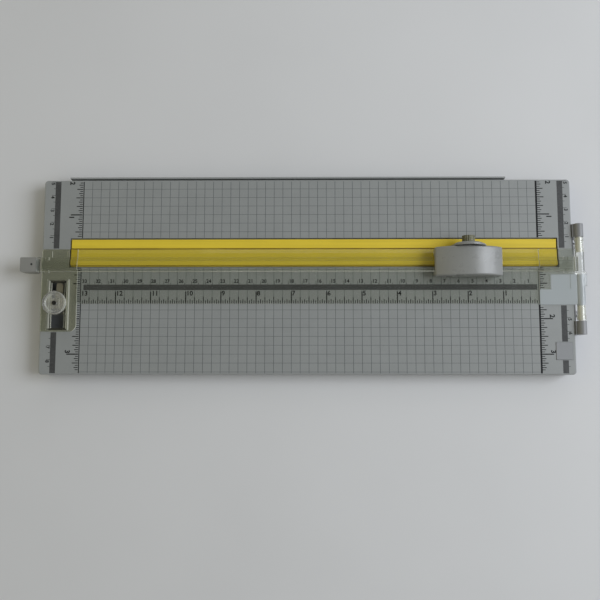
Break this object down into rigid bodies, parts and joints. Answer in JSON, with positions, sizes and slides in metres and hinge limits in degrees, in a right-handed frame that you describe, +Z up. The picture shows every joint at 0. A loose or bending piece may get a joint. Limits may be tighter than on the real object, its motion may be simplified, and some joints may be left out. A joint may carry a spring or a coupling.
{
  "type": "rotary paper trimmer",
  "caption": "Flat ruled trimmer base with a hinged clear rail, a sliding press-down carriage with a round blade, a cutting strip, a latch and a swing-out ruler.",
  "frame": {"origin": "bottom centre of the whole object's box, on the table under the middle of the trimmer", "axes": "+X along the cut, from the latch end to the hinge end; +Y to the rear edge of the deck; +Z up"},
  "size_m": [0.4066, 0.1442, 0.0368],
  "materials": {
    "deck_plastic": "fine satin moulding, printed ruler and grid",
    "cover_plastic": "matte moulding",
    "strip_plastic": "soft satin plastic",
    "badge_plastic": "satin",
    "hinge_plastic": "satin moulding",
    "carriage_plastic": "semi-gloss moulding",
    "runner_plastic": "natural white low-friction nylon",
    "hook_plastic": "satin moulding",
    "clear_plastic": "clear polished moulding",
    "rubber": "matte",
    "steel": "plated",
    "black_steel": "blackened",
    "blade_steel": "ground",
    "brass": "turned",
    "bronze": "dull bronze plating, knurled",
    "print_ink": "screen-printed ink of the ruler and the grid, on the visual model"
  },
  "bodies": {
    "base": {"base_shell": "deck_plastic", "bottom_cover": "cover_plastic", "cover_screws": "steel", "rubber_feet": "rubber", "cutting_strip": "strip_plastic", "badge_plate": "badge_plastic", "hinge_bracket": "hinge_plastic", "bracket_screws": "steel", "hinge_pins": "runner_plastic", "pivot_washer": "steel", "pivot_screw": "steel"},
    "extension": {"extension_arm": "deck_plastic"},
    "arm": {"clear_rail": "clear_plastic", "lift_tab": "carriage_plastic", "tab_pin": "black_steel", "latch_block": "clear_plastic", "hinge_block": "clear_plastic"},
    "latch": {"latch_slider": "clear_plastic", "latch_hook": "hook_plastic", "latch_knob": "clear_plastic", "latch_rivet": "black_steel"},
    "carriage": {"carriage_runner": "runner_plastic", "press_springs": "steel"},
    "press": {"carriage_dome": "carriage_plastic", "threaded_insert": "brass", "blade_guard": "carriage_plastic", "blade_bush": "runner_plastic", "thumb_bolt": "bronze"},
    "blade": {"rotary_blade": "blade_steel"}
  },
  "joints": [
    {"name": "arm_hinge", "type": "hinge", "parent": "base", "child": "arm", "pos_m": [0.199, -0.00335, 0.0153], "axis": [0, 1, 0], "range_deg": [0, 95]},
    {"name": "latch_slide", "type": "slide", "parent": "arm", "child": "latch", "axis": [0, 1, 0], "range_m": [-0.0096, 0.0076]},
    {"name": "carriage_slide", "type": "slide", "parent": "arm", "child": "carriage", "axis": [1, 0, 0], "range_m": [-0.2834, 0.0519]},
    {"name": "blade_press", "type": "slide", "parent": "carriage", "child": "press", "axis": [0, 0, -1], "range_m": [0, 0.002], "stiffness_N_per_m": 900, "springref_m": -0.002, "deforming": ["press_springs"]},
    {"name": "blade_spin", "type": "hinge", "parent": "press", "child": "blade", "pos_m": [0.1175, 0.01865, 0.0246], "axis": [0, 1, 0], "continuous": true},
    {"name": "extension_swing", "type": "hinge", "parent": "base", "child": "extension", "pos_m": [-0.1795, 0.06185, 0.0084], "axis": [0, 0, 1], "range_deg": [0, 90]}
  ]
}
